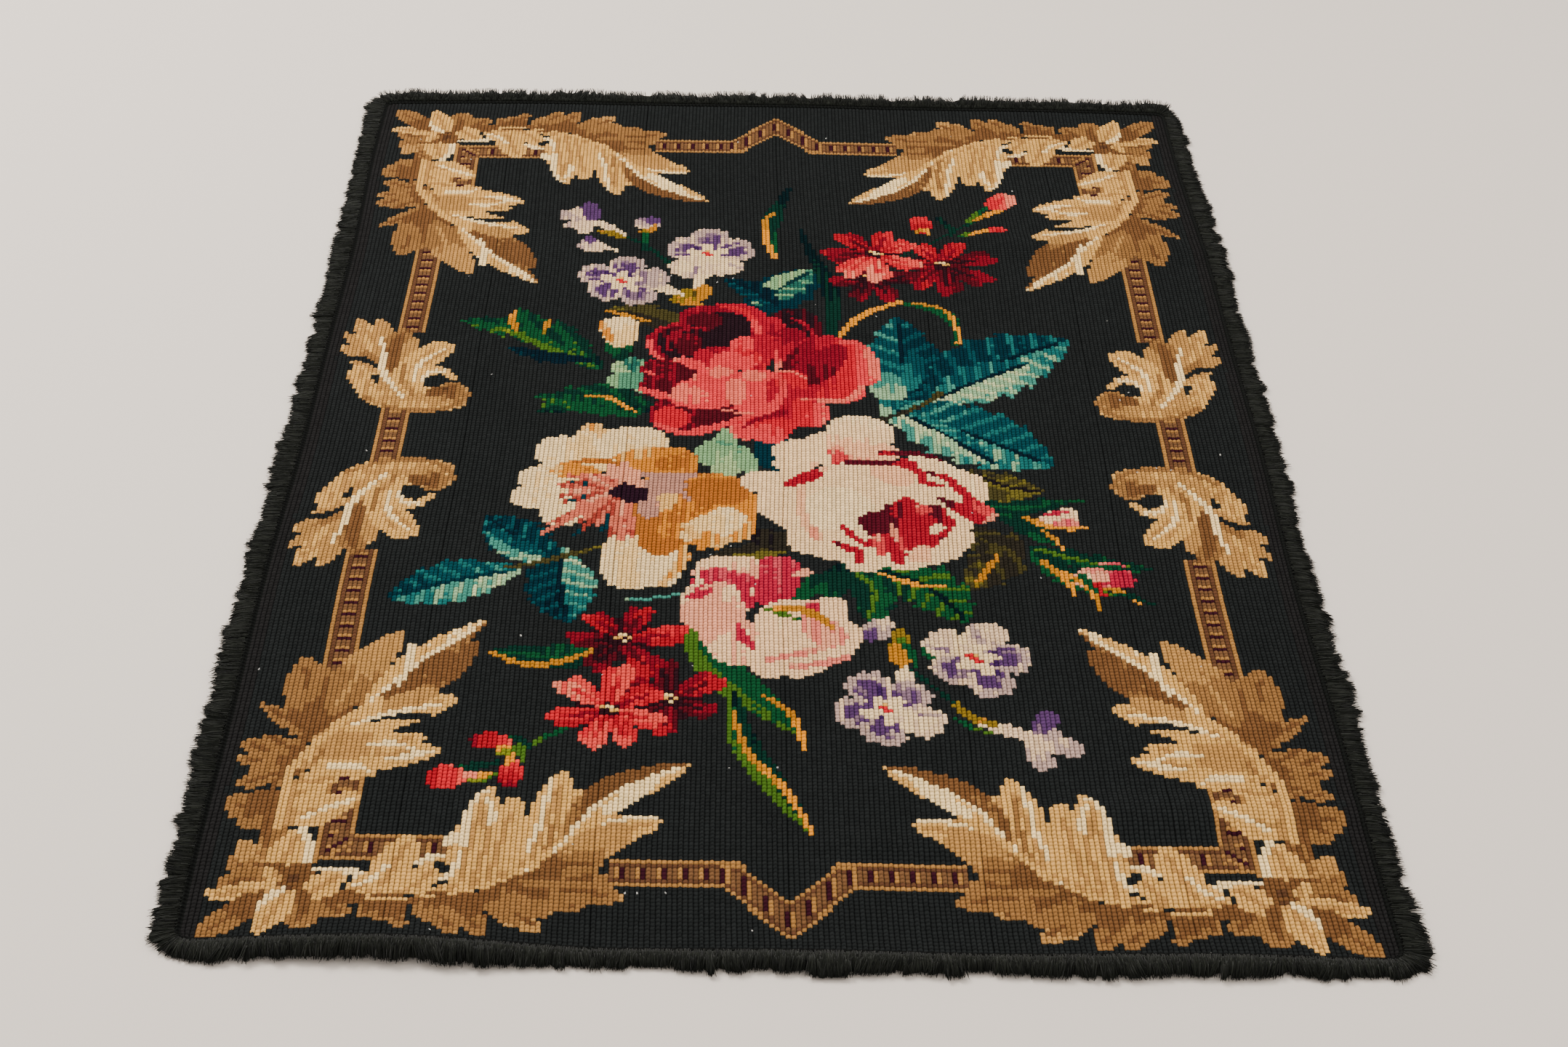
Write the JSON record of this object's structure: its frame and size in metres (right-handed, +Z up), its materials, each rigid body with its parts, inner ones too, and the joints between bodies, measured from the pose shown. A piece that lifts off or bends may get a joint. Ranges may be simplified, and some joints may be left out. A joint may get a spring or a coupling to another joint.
{
  "type": "needlepoint rug",
  "caption": "Rectangular wool needlepoint rug with a floral bouquet on a black ground, a tan leaf-scroll border and a short cut fringe on all four edges.",
  "frame": {"origin": "on the floor under the middle of the rug with its fringe", "axes": "+Z up from the floor, +Y along the rug from its near end to its far end, +X to the right seen from the near end"},
  "size_m": [1.0236, 1.4716, 0.0141],
  "materials": {
    "stitched_wool": "matte",
    "fringe_wool": "matte"
  },
  "bodies": {
    "root": {"rug_cloth": "stitched_wool", "fringe_near": "fringe_wool", "fringe_right": "fringe_wool", "fringe_far": "fringe_wool", "fringe_left": "fringe_wool"}
  },
  "joints": []
}
